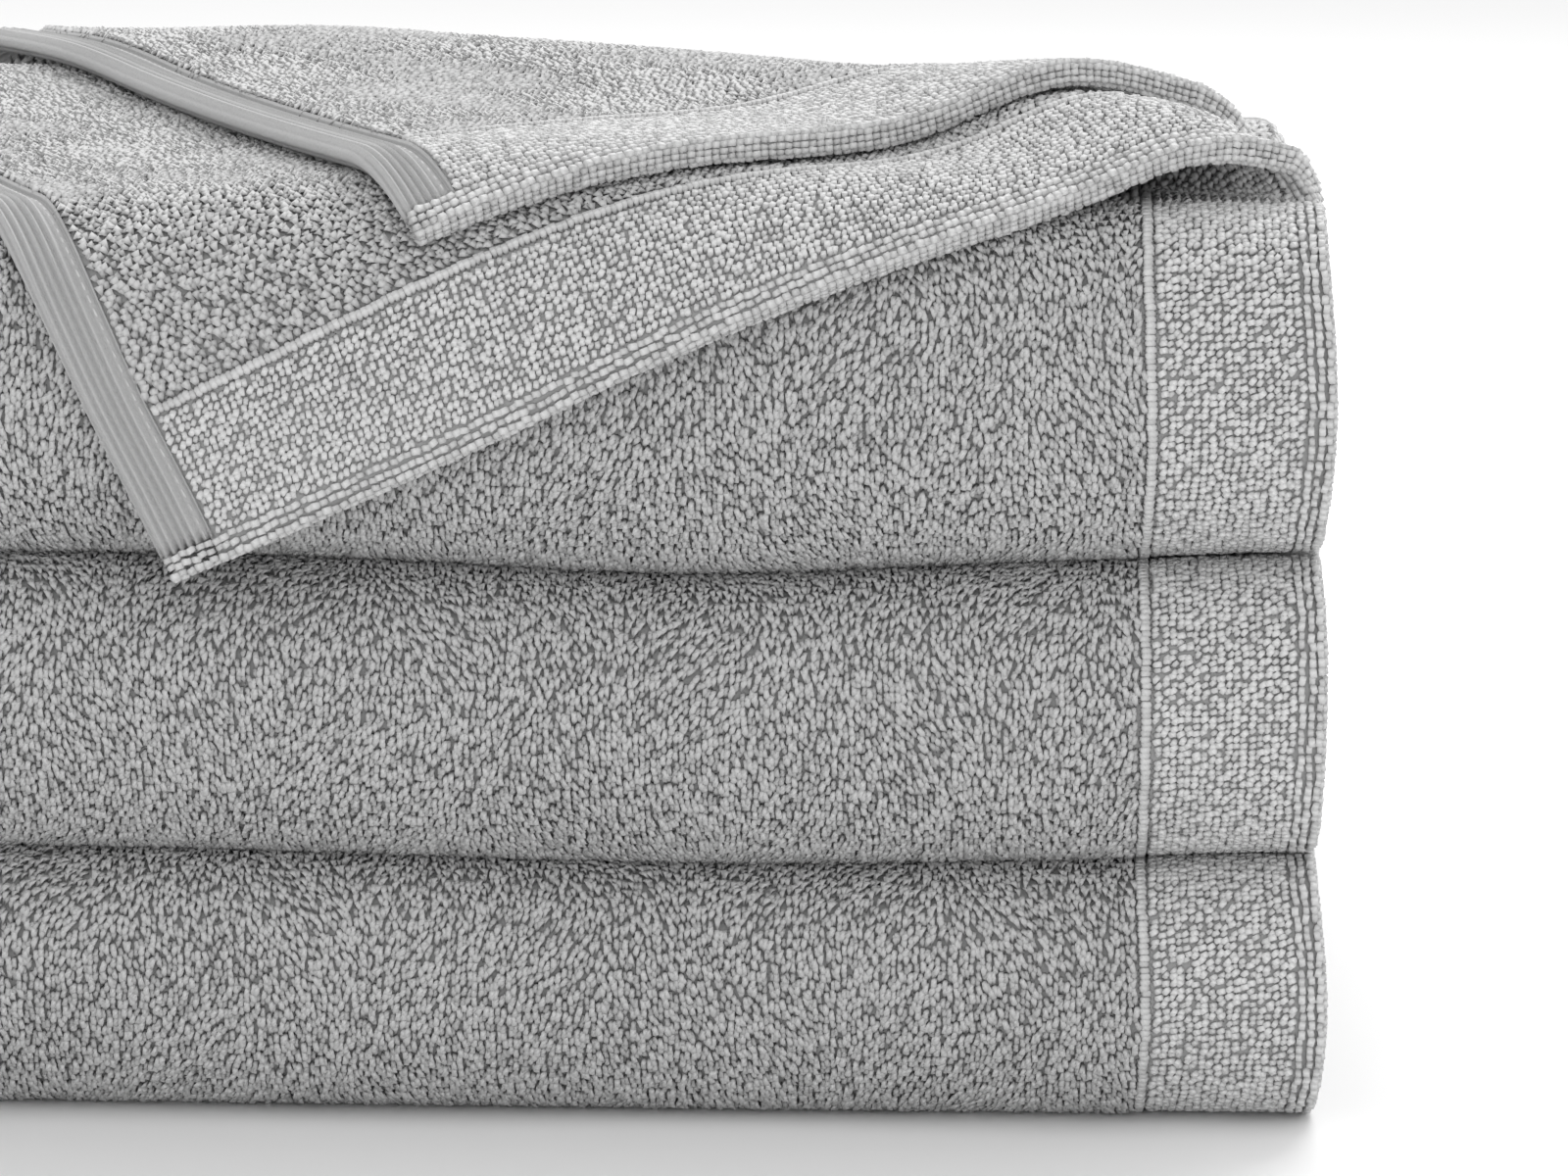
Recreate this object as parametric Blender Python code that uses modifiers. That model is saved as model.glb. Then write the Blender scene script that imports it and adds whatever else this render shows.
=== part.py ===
"""A stack of three folded terry bath towels; two corners of the top towel are turned back on themselves.

Each towel is one cloth. It is doubled end to end, doubled again, and then folded in thirds across its
width, so twelve leaves lie on each other. Every piece is cut flat, in the cloth's own coordinates, creased
along its fold lines, moved to its folded place and given its thickness. Metres, +Z up, front at -Y.
"""

import math

import bmesh
import bpy
import numpy as np
from mathutils import Vector

# The flat cloth
TOWEL_WIDTH = 0.70
TOWEL_LENGTH = 1.40
SIDE_HEM = 0.010
END_HEM = 0.005
BORDER = 0.024
RIDGE = 0.002
SEAM_GAP = 0.0005

# The folded stack: a towel is looser the less lies on it
FOLDED_HEIGHT = {"bottom": 0.0457, "middle": 0.0512, "top": 0.0615}
LEAVES_ALONG = 4
LEAVES_ACROSS = 3
LEAF_GAP = 0.0004
TOWEL_GAP = 0.0003
RIGHT_END = 0.1765
FRONT = -0.1205
INNER_END_INSET = {"bottom": 0.002, "middle": 0.002, "top": 0.006}
MID_FOLD_INSET = 0.006
TOP_EDGE_INSET = 0.004
INNER_EDGE_INSET = 0.004

# Thickness of each kind of cloth as a share of a leaf
BORDER_SHARE = 0.85
HEM_SHARE = 0.90
SIDE_HEM_SHARE = 0.50

# The front fold is squarer than a circle: its depth in leaves, and the power of its outline
FRONT_DEPTH = 3.0
FRONT_POWER = 2.2

# The two corners turned back: the lower crease runs from the front fold at the right end to this far short
# of the left fold at the back, and the upper one lies parallel to it, this far behind it at the right end
CREASE_END_INSET = 0.008
UPPER_CREASE_START = 0.0270
LOWER_CLEARANCE = 0.0008
UPPER_CLEARANCE = 0.0008
TURN_RANGE = math.radians(70)
DRAPE_BEND = 0.85  # a hanging corner is straight below this share of the towel's height

FOLD_STEPS = {"outer": 6, "small": 5, "front": 7, "back": 7, "crease": 10, "drape": 10}
TABLE_STEPS = 96

def arc_lengths(points):
    return np.concatenate([[0.0], np.cumsum(np.linalg.norm(np.diff(points, axis=0), axis=1))])


def spaced(start, end, steps):
    return [start + (end - start) * k / steps for k in range(steps + 1)]


class Crease:
    """A diagonal bend of one leaf, along a line in plan, that turns the corner beyond it over."""

    def __init__(self, start, along, leaf_level, turned_level):
        self.start = start
        self.beyond = Vector((along.y, -along.x))
        self.level = leaf_level
        self.radius = (turned_level - leaf_level) / 2

    def past(self, plan):
        return (plan - self.start).dot(self.beyond)

    def turned(self, plan):
        """Where a point of the flat leaf goes: its plan place, and its level over the towel's top."""
        past = self.past(plan)
        foot = plan - self.beyond * past
        if past <= 0:
            return plan, self.level
        angle = past / self.radius
        if angle <= math.pi:
            plan = foot + self.beyond * self.radius * math.sin(angle)
            return plan, self.level + self.radius * (1 - math.cos(angle))
        return foot - self.beyond * (past - math.pi * self.radius), self.level + 2 * self.radius

    def unturned(self, plan):
        """The flat place of a point of the turned corner."""
        return plan + self.beyond * (math.pi * self.radius - 2 * self.past(plan))


class Towel:
    """The fold of one towel: where each point of the flat cloth goes.

    u runs along the towel from its outer end (0) to its inner end; s runs across it, from the edge that
    ends on top of the fold at the back (0) to the edge that ends inside the fold.
    """

    def __init__(self, name, base):
        self.name = name
        self.base = base
        self.height = FOLDED_HEIGHT[name]
        self.top = base + self.height
        self.pitch = self.height / (LEAVES_ALONG * LEAVES_ACROSS)
        self.thickness = self.pitch - LEAF_GAP
        self.fold_along()
        self.fold_across()
        self.creases = {}

    def fold_along(self):
        p = self.pitch
        self.outer_end = RIGHT_END
        self.inner_end = RIGHT_END - INNER_END_INSET[self.name]
        self.mid_fold = RIGHT_END - MID_FOLD_INSET
        bends = (1.5 + 0.5 + 0.5) * math.pi * p
        self.left = (self.outer_end + self.inner_end + 2 * self.mid_fold + bends - TOWEL_LENGTH) / LEAVES_ALONG
        lengths = [
            self.outer_end - self.left,
            1.5 * math.pi * p,
            self.mid_fold - self.left,
            0.5 * math.pi * p,
            self.mid_fold - self.left,
            0.5 * math.pi * p,
            self.inner_end - self.left,
        ]
        self.u_marks = np.concatenate([[0.0], np.cumsum(lengths)])

    def fold_across(self):
        p = self.pitch
        angle = np.linspace(0, math.pi, TABLE_STEPS)
        squared = 2 / FRONT_POWER
        front_depth, back_radius = FRONT_DEPTH * p, 2 * p
        front = np.stack(
            [
                -front_depth * np.sin(angle) ** squared,
                4 * p * np.sign(np.cos(angle)) * np.abs(np.cos(angle)) ** squared,
            ],
            axis=1,
        )
        back = back_radius * np.stack([np.sin(angle), -np.cos(angle)], axis=1)
        front_length, back_length = arc_lengths(front)[-1], math.pi * back_radius
        top_extra = back_radius + 2 * p - TOP_EDGE_INSET
        run = (TOWEL_WIDTH - front_length - back_length - top_extra + INNER_EDGE_INSET) / LEAVES_ACROSS
        self.front_tangent = FRONT + front_depth + 2 * p
        back_tangent = self.front_tangent + run
        mid = self.base + self.height / 2
        low = self.base + 2 * p
        start = np.array([[back_tangent + top_extra, mid + 4 * p]])
        end = np.array([[self.front_tangent + INNER_EDGE_INSET, low + 2 * back_radius]])
        path = np.concatenate(
            [start, front + [self.front_tangent, mid], back + [back_tangent, low + back_radius], end]
        )
        self.path_s = arc_lengths(path)
        self.path = path
        slope = np.gradient(path, self.path_s, axis=0)
        slope[0] = slope[1] = slope[-1] = slope[-2] = [-1, 0]
        slope[TABLE_STEPS] = slope[TABLE_STEPS + 1] = [1, 0]
        slope /= np.linalg.norm(slope, axis=1)[:, None]
        self.out = np.stack([slope[:, 1], -slope[:, 0]], axis=1)
        self.s_front = self.path_s[1]
        self.s_marks = [self.path_s[0], self.s_front, self.path_s[TABLE_STEPS], self.path_s[TABLE_STEPS + 1]]
        self.s_marks += [self.path_s[2 * TABLE_STEPS], self.path_s[-1]]

    def along(self, u):
        """X, and the offset from the middle of the four leaves, at u."""
        p = self.pitch
        _, a, b, c, d, e, f, _ = self.u_marks
        if u <= a:
            return self.outer_end - u, 1.5 * p
        if u <= b:
            turn = (u - a) / (1.5 * p)
            return self.left - 1.5 * p * math.sin(turn), 1.5 * p * math.cos(turn)
        if u <= c:
            return self.left + u - b, -1.5 * p
        if u <= d:
            turn = (u - c) / (0.5 * p)
            return self.mid_fold + 0.5 * p * math.sin(turn), -p - 0.5 * p * math.cos(turn)
        if u <= e:
            return self.mid_fold - (u - d), -0.5 * p
        if u <= f:
            turn = (u - e) / (0.5 * p)
            return self.left - 0.5 * p * math.sin(turn), -0.5 * p * math.cos(turn)
        return self.left + u - f, 0.5 * p

    def across(self, s, offset):
        """Y and Z at s, on the leaf that lies this far out from the middle of the four."""
        y, z = (np.interp(s, self.path_s, self.path[:, k]) for k in (0, 1))
        out = Vector([np.interp(s, self.path_s, self.out[:, k]) for k in (0, 1)]).normalized()
        return y + out.x * offset, z + out.y * offset

    def flat_plan(self, u, s):
        """The leaf's end it belongs to, and the point's plan place with that leaf laid flat."""
        y = self.front_tangent + self.s_front - s
        if u < TOWEL_LENGTH / 2:
            return "lower", Vector((self.outer_end - u, y))
        return "upper", Vector((self.inner_end - (TOWEL_LENGTH - u), y))

    def place(self, u, s):
        leaf, plan = self.flat_plan(u, s)
        on_end_leaf = u < self.u_marks[1] or u > self.u_marks[6]
        crease = self.creases.get(leaf)
        if crease and on_end_leaf and crease.past(plan) > 0:
            plan, level = crease.turned(plan)
            return self.over_top(plan, level)
        x, offset = self.along(u)
        y, z = self.across(s, offset)
        return Vector((x, y, z))

    def over_top(self, plan, level):
        """A point laid over the towel's top; in front it bends round the front fold and then hangs straight down."""
        beyond = self.front_tangent - plan.y
        if beyond <= 0:
            return Vector((plan.x, plan.y, self.top + level))
        upper_half = slice(1, 1 + TABLE_STEPS // 2)
        curve = self.path[upper_half] + self.out[upper_half] * (2 * self.pitch + level)
        length = arc_lengths(curve)
        y, z = (np.interp(beyond, length, curve[:, k]) for k in (0, 1))
        return Vector((plan.x, y, z - max(0, beyond - length[-1])))

    def fold_lines(self):
        """Every line that the flat cloth is creased along, as (point, direction across it)."""
        u, s, steps = self.u_marks, self.s_marks, FOLD_STEPS
        u_lines = spaced(u[1], u[2], steps["outer"]) + spaced(u[3], u[4], steps["small"])
        u_lines += spaced(u[5], u[6], steps["small"])
        s_lines = spaced(s[1], s[2], steps["front"]) + spaced(s[3], s[4], steps["back"])
        lines = [(Vector((at, 0)), Vector((1, 0))) for at in u_lines]
        lines += [(Vector((0, at)), Vector((0, 1))) for at in s_lines]
        return lines

    def crease_line(self, leaf, past):
        """The line of the flat cloth this far past a leaf's crease, pointing to its corner."""
        crease = self.creases[leaf]
        beyond = crease.beyond
        spot = crease.start + beyond * past
        s = self.front_tangent + self.s_front - spot.y
        if leaf == "lower":
            return Vector((self.outer_end - spot.x, s)), Vector((-beyond.x, -beyond.y))
        return Vector((TOWEL_LENGTH - (self.inner_end - spot.x), s)), Vector((beyond.x, -beyond.y))

    def drape_lines(self, leaf):
        """The lines that a turned corner bends along where it hangs over the front."""
        crease = self.creases[leaf]
        across = Vector((0, 1)) - 2 * crease.beyond.y * crease.beyond
        lines = []
        for drop in spaced(0, self.height * DRAPE_BEND, FOLD_STEPS["drape"]):
            spot = crease.unturned(Vector((crease.start.x, self.front_tangent - drop)))
            s = self.front_tangent + self.s_front - spot.y
            if leaf == "lower":
                lines.append((Vector((self.outer_end - spot.x, s)), Vector((-across.x, -across.y))))
            else:
                lines.append((Vector((TOWEL_LENGTH - (self.inner_end - spot.x), s)), Vector((across.x, -across.y))))
        return lines


def make_material(name, colour, roughness):
    material = bpy.data.materials.new(name)
    material.use_nodes = True
    shader = material.node_tree.nodes["Principled BSDF"]
    shader.inputs["Base Color"].default_value = (*colour, 1.0)
    shader.inputs["Roughness"].default_value = roughness
    shader.inputs["Metallic"].default_value = 0.0
    return material


def make_materials():
    return {
        "field": make_material("long_pile", (0.47, 0.47, 0.475), 0.95),
        "border": make_material("short_pile", (0.53, 0.53, 0.535), 0.95),
        "ridge": make_material("ridge_pile", (0.57, 0.57, 0.575), 0.95),
        "end_hem": make_material("hem_pile", (0.55, 0.55, 0.555), 0.95),
        "side_hem": make_material("hem_weave", (0.60, 0.60, 0.605), 0.85),
    }


def cut(bm, line, keep="both"):
    point, across = line
    bmesh.ops.bisect_plane(
        bm,
        geom=bm.verts[:] + bm.edges[:] + bm.faces[:],
        plane_co=(point.x, point.y, 0),
        plane_no=(across.x, across.y, 0),
        clear_outer=keep == "before",
        clear_inner=keep == "after",
        dist=1e-6,
    )


def cloth_piece(name, towel, area, thickness, material, collection, kept=(), creased=()):
    """One piece of cloth: its flat rectangle, trimmed and creased, moved to its folded place."""
    u0, u1, s0, s1 = area
    bm = bmesh.new()
    bmesh.ops.create_grid(bm, x_segments=1, y_segments=1, size=0.5)
    for vert in bm.verts:
        vert.co = Vector((u0 + (vert.co.x + 0.5) * (u1 - u0), s0 + (vert.co.y + 0.5) * (s1 - s0), 0))
    for line, side in kept:
        cut(bm, line, side)
    for line in creased:
        cut(bm, line)
    for vert in bm.verts:
        vert.co = towel.place(vert.co.x, vert.co.y)
    mesh = bpy.data.meshes.new(name)
    bm.to_mesh(mesh)
    bm.free()
    mesh.materials.append(material)
    mesh.shade_smooth()
    piece = bpy.data.objects.new(name, mesh)
    collection.objects.link(piece)
    shell = piece.modifiers.new("thickness", "SOLIDIFY")
    shell.thickness = thickness
    shell.offset = 0
    shell.use_even_offset = True
    return piece


def end_zones(towel):
    """Each zone beside an end: its distances from that end, its thickness and its material."""
    thick = towel.thickness
    ridge_start = END_HEM + BORDER
    return {
        "end_hem": (0, END_HEM, thick * HEM_SHARE, "end_hem"),
        "border": (END_HEM + SEAM_GAP, ridge_start, thick * BORDER_SHARE, "border"),
        "ridge": (ridge_start + SEAM_GAP, ridge_start + RIDGE, thick, "ridge"),
    }


FIELD_START = END_HEM + BORDER + RIDGE + SEAM_GAP
INNER_S = (SIDE_HEM + SEAM_GAP, TOWEL_WIDTH - SIDE_HEM - SEAM_GAP)


def trims(towel):
    """What is cut off the pieces that stay folded where a corner is turned back, and their extra creases."""
    kept, creased = [], []
    for leaf, crease in towel.creases.items():
        stub = crease.radius * (math.pi - TURN_RANGE - math.radians(8))
        kept.append((towel.crease_line(leaf, stub), "before"))
        creased += [towel.crease_line(leaf, past) for past in spaced(0, stub, FOLD_STEPS["crease"])[:-1]]
    return kept, creased


def make_towel(towel, materials, collection):
    """The pieces of a towel that stay in its fold."""
    kept, creased = trims(towel)
    creased += towel.fold_lines()
    name, thick = towel.name, towel.thickness
    across = INNER_S

    def piece(part, area, thickness, kind):
        return cloth_piece(f"{name}_{part}", towel, area, thickness, materials[kind], collection, kept, creased)

    made = [piece("field", (FIELD_START, TOWEL_LENGTH - FIELD_START, *across), thick, "field")]
    for zone, (near, far, thickness, kind) in end_zones(towel).items():
        whole = (0, TOWEL_WIDTH) if zone == "end_hem" else across
        made.append(piece(f"outer_{zone}", (near, far, *whole), thickness, kind))
        made.append(piece(f"inner_{zone}", (TOWEL_LENGTH - far, TOWEL_LENGTH - near, *whole), thickness, kind))
    between = (END_HEM + SEAM_GAP, TOWEL_LENGTH - END_HEM - SEAM_GAP)
    side = thick * SIDE_HEM_SHARE
    made.append(piece("top_side_hem", (*between, 0, SIDE_HEM), side, "side_hem"))
    made.append(piece("tucked_side_hem", (*between, TOWEL_WIDTH - SIDE_HEM, TOWEL_WIDTH), side, "side_hem"))
    return made


def make_corner(towel, leaf, materials, collection):
    """The pieces of a corner that is turned back, hung from an empty on its crease."""
    crease = towel.creases[leaf]
    thick = towel.thickness
    after = [(towel.crease_line(leaf, math.pi * crease.radius + SEAM_GAP), "after")]
    creased = towel.drape_lines(leaf)
    reach = towel.u_marks[1] if leaf == "lower" else TOWEL_LENGTH - towel.u_marks[6]

    def piece(part, near, far, s0, s1, thickness, kind):
        u0, u1 = (near, far) if leaf == "lower" else (TOWEL_LENGTH - far, TOWEL_LENGTH - near)
        name = f"{leaf}_corner_{part}"
        return cloth_piece(
            name, towel, (u0, u1, s0, s1), thickness, materials[kind], collection, after, creased
        )

    inside = SIDE_HEM + SEAM_GAP
    made = [piece("field", FIELD_START, reach, inside, towel.s_front, thick, "field")]
    for zone, (near, far, thickness, kind) in end_zones(towel).items():
        start = 0 if zone == "end_hem" else inside
        made.append(piece(zone, near, far, start, towel.s_front, thickness, kind))
    hem = thick * SIDE_HEM_SHARE
    made.append(piece("side_hem", END_HEM + SEAM_GAP, reach, 0, SIDE_HEM, hem, "side_hem"))
    pivot = bpy.data.objects.new(f"{leaf}_corner_axis", None)
    pivot.location = (*crease.start, towel.top + crease.level + crease.radius)
    collection.objects.link(pivot)
    bpy.context.view_layer.update()
    for part in made:
        part.parent = pivot
        part.matrix_parent_inverse = pivot.matrix_world.inverted()
    return made


def clear_scene():
    for obj in list(bpy.data.objects):
        bpy.data.objects.remove(obj, do_unlink=True)


def add_creases(towel):
    """The top towel's two creases: the outer end's corner starts at the front fold, the inner end's behind it."""
    p = towel.pitch
    lower = 0.5 * p + LOWER_CLEARANCE
    upper = lower + p + UPPER_CLEARANCE
    start = Vector((towel.outer_end, towel.front_tangent))
    end = Vector((towel.left + CREASE_END_INSET, towel.path[0][0]))
    along = (end - start).normalized()
    towel.creases["lower"] = Crease(start, along, -0.5 * p, lower)
    behind = Vector((towel.inner_end, towel.front_tangent + UPPER_CREASE_START))
    towel.creases["upper"] = Crease(behind, along, -1.5 * p, upper)


def main():
    clear_scene()
    collection = bpy.data.collections.new("bath_towel_set")
    bpy.context.scene.collection.children.link(collection)
    materials = make_materials()
    base = -LEAF_GAP / 2
    for name in FOLDED_HEIGHT:
        towel = Towel(name, base)
        if name == "top":
            add_creases(towel)
        make_towel(towel, materials, collection)
        for leaf in towel.creases:
            make_corner(towel, leaf, materials, collection)
        base += towel.height + TOWEL_GAP - LEAF_GAP


main()
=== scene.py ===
# %% [markdown]
# # Three folded bath towels
# On the real object each towel is one thick terry cloth, 70 x 140 cm, doubled end to end, doubled again and
# folded in thirds, so that twelve leaves lie on each other. Two corners of the top towel are turned back.
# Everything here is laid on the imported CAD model, which gives the bodies that move and the box to stay in.

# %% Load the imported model
import math

import bmesh
import bpy
import numpy as np
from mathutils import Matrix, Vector


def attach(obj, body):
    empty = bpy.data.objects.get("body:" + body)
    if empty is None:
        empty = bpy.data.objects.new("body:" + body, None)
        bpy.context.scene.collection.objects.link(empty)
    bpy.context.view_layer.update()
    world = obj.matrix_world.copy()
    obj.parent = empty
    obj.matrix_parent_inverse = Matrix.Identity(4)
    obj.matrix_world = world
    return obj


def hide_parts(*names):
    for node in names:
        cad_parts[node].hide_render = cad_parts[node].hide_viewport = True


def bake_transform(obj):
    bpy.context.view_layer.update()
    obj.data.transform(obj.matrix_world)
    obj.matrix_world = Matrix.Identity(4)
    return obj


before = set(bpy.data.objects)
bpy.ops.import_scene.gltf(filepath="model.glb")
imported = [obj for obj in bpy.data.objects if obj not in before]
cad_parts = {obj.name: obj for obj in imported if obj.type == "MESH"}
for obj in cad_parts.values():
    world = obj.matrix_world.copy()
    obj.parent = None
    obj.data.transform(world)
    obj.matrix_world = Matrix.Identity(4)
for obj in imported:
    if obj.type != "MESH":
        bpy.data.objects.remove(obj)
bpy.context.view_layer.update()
MM = 0.001

# %% [markdown]
# ## Camera, floor and light
# A long lens, a little above the stack and almost square to its front, shows the rolled front folds. The
# light is that of a white studio: nearly the same from every side, with a wide soft lamp behind that lifts
# the tops, and a weak one low in front. Only the gaps between loops and the seams between towels stay dark;
# in the gaps the ground cloth also carries painted shade.

# %% Camera, floor and light
CAMERA_AIM = Vector((0.0855, -0.1205, 0.0949))
CAMERA_DISTANCE = 1.022
CAMERA_PITCH, CAMERA_YAW = math.radians(11.0), math.radians(2.6)
LENS = 139.0
FLOOR_HALF, FLOOR_DROP, FLOOR_SHADE = 6.0, 0.3 * MM, 0.86
SKY_STRENGTH = 1.02
# Each lamp: its place, its size and its watts
LAMPS = {"lamp_behind": ((0.40, 0.85, 1.1), 0.9, 14.0), "lamp_front": ((0.10, -1.25, 0.06), 0.8, 2.0)}
LAMPS_AIM = Vector((0, 0, 0.08))


def add_object(name, data):
    made = bpy.data.objects.new(name, data)
    bpy.context.scene.collection.objects.link(made)
    return made


def add_camera():
    camera = add_object("camera", bpy.data.cameras.new("camera"))
    back = Vector((
        math.sin(CAMERA_YAW) * math.cos(CAMERA_PITCH),
        -math.cos(CAMERA_YAW) * math.cos(CAMERA_PITCH),
        math.sin(CAMERA_PITCH),
    ))
    camera.location = CAMERA_AIM + back * CAMERA_DISTANCE
    camera.rotation_mode = "QUATERNION"
    camera.rotation_quaternion = (-back).to_track_quat("-Z", "Y")
    camera.data.lens = LENS
    camera.data.clip_start, camera.data.clip_end = 0.01, 50
    bpy.context.scene.camera = camera


def plain_material(name, shade, roughness):
    material = bpy.data.materials.new(name)
    material.use_nodes = True
    shader = material.node_tree.nodes["Principled BSDF"]
    shader.inputs["Base Color"].default_value = (shade, shade, shade, 1)
    shader.inputs["Roughness"].default_value = roughness
    return material


def add_floor():
    mesh = bpy.data.meshes.new("floor")
    corners = [(x * FLOOR_HALF, y * FLOOR_HALF, 0) for x, y in ((-1, -1), (1, -1), (1, 1), (-1, 1))]
    mesh.from_pydata(corners, [], [(0, 1, 2, 3)])
    mesh.materials.append(plain_material("studio_floor", FLOOR_SHADE, 0.9))
    floor = add_object("floor", mesh)
    floor.location.z = -FLOOR_DROP


def add_light():
    world = bpy.data.worlds.new("studio")
    bpy.context.scene.world = world
    world.use_nodes = True
    sky = world.node_tree.nodes["Background"]
    sky.inputs["Color"].default_value = (1, 1, 1, 1)
    sky.inputs["Strength"].default_value = SKY_STRENGTH
    bpy.context.scene.view_settings.view_transform = "Standard"
    for name, (place, size, watts) in LAMPS.items():
        lamp = add_object(name, bpy.data.lights.new(name, "AREA"))
        lamp.location = place
        lamp.rotation_euler = (LAMPS_AIM - Vector(place)).to_track_quat("-Z", "Y").to_euler()
        lamp.data.size, lamp.data.energy = size, watts


add_camera()
add_floor()
add_light()
print("camera at", [round(v, 3) for v in bpy.context.scene.camera.location])

# %% [markdown]
# ## The fold, as a rule
# A folded cloth is a rule that says where each point of the flat cloth lies. u runs along the towel from its
# outer end to its inner end, and s across it, from the edge on top at the back to the edge tucked inside.
# Working from the rule, and not from a finished shape, lets the cloth, its hems and every loop of its pile
# use the same folds, so nothing can come apart. These sizes are the CAD model's.

# %% Sizes of the cloth and of its folds
TOWEL_WIDTH, TOWEL_LENGTH = 0.70, 1.40
SIDE_HEM, END_HEM, BORDER, RIDGE, SEAM = 0.010, 0.005, 0.024, 0.002, 0.0005
BORDER_FAR = END_HEM + BORDER
FIELD_START = BORDER_FAR + RIDGE + SEAM
FOLDED_HEIGHT = {"bottom": 0.0457, "middle": 0.0512, "top": 0.0615}
LEAF_GAP, TOWEL_GAP = 0.0004, 0.0003
RIGHT_END, FRONT = 0.1765, -0.1205
INNER_END_INSET = {"bottom": 0.002, "middle": 0.002, "top": 0.006}
MID_FOLD_INSET, TOP_EDGE_INSET, INNER_EDGE_INSET = 0.006, 0.004, 0.004
FRONT_DEPTH, FRONT_POWER = 3.0, 2.2
CREASE_END_INSET, UPPER_CREASE_START, CREASE_CLEARANCE = 0.008, 0.0270, 0.0008
TABLE_STEPS = 96
LIE_ASKEW = (-0.018, 0.080)  # how far the lower and the upper corner slide sideways as they reach out


def arc_lengths(points):
    return np.concatenate([[0.0], np.cumsum(np.linalg.norm(np.diff(points, axis=0), axis=1))])


def unit(vectors):
    return vectors / np.maximum(np.linalg.norm(vectors, axis=1), 1e-12)[:, None]


def smooth(t):
    t = np.clip(t, 0, 1)
    return t * t * (3 - 2 * t)


# %% [markdown]
# A corner that is turned back rolls round a diagonal crease. Past the crease the cloth climbs a half circle
# and then lies over the towel, mirrored about the crease.

# %% The crease of a turned-back corner
class Crease:
    def __init__(self, start, along, leaf_level, turned_level):
        self.start, self.way = np.array(start), np.array(along)
        self.beyond = np.array((along[1], -along[0]))
        self.level, self.radius = leaf_level, (turned_level - leaf_level) / 2
        self.round = math.pi * self.radius
        self.askew = 0.0

    def past(self, plan):
        return (plan - self.start) @ self.beyond

    def turned(self, plan):
        """The plan place, the level over the towel's top, and how far over it has turned, from 0 to 1."""
        past = self.past(plan)
        foot = plan - past[:, None] * self.beyond
        angle = np.clip(past / self.radius, 0, math.pi)
        reach = self.radius * np.sin(angle) - np.maximum(past - self.round, 0)
        rise = self.radius * (1 - np.cos(angle))
        return foot + reach[:, None] * self.beyond, self.level + rise, rise / (2 * self.radius)


# %% [markdown]
# The towel itself: four leaves, one inside the other, that all follow one line across the width. The line
# runs forward along the top, round the front fold, back along the bottom, round the back fold, and forward
# again between the two.

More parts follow.
